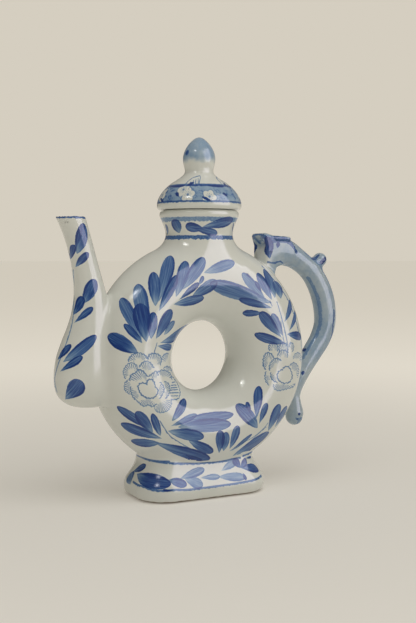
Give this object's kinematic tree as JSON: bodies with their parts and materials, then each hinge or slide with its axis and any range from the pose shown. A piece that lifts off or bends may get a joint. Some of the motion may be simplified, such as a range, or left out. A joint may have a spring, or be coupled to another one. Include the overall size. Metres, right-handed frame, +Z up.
{
  "type": "ring-shaped porcelain sake ewer with lid",
  "caption": "Ring-shaped lidded porcelain ewer for warm rice wine, with a slender spout, a dragon handle and a flared foot, painted in cobalt blue flowers and leaves.",
  "frame": {"origin": "on the ground under the middle of the overall length, between spout tip and handle", "axes": "+Z up, -X towards the spout, +X towards the handle, -Y the painted front of the ring"},
  "size_m": [0.193, 0.0516, 0.2168],
  "materials": {
    "body_glaze": "clear gloss glaze over hand-brushed cobalt flowers and leaves",
    "neck_glaze": "clear gloss glaze with cobalt bands and leaves",
    "foot_glaze": "clear gloss glaze with cobalt leaves and lines, bare clay on the contact edge",
    "spout_glaze": "clear gloss glaze with cobalt leaves and a cobalt line round the mouth",
    "handle_glaze": "streaky pale cobalt wash under clear gloss glaze",
    "lid_glaze": "clear gloss glaze with a cobalt band holding white blossoms",
    "flange_glaze": "bare biscuit clay, matt",
    "finial_glaze": "pale cobalt wash fading to white at the foot, clear gloss glaze"
  },
  "bodies": {
    "vessel": {"ring_body_front": "body_glaze", "ring_body_back": "body_glaze", "neck_collar": "neck_glaze", "foot_ring": "foot_glaze", "spout": "spout_glaze", "dragon_handle": "handle_glaze"},
    "lid": {"lid_dome": "lid_glaze", "lid_flange": "flange_glaze", "lid_finial": "finial_glaze"}
  },
  "joints": [
    {"name": "lid_lift", "type": "slide", "parent": "vessel", "child": "lid", "axis": [0, 0, 1], "range_m": [0, 0.045]}
  ]
}
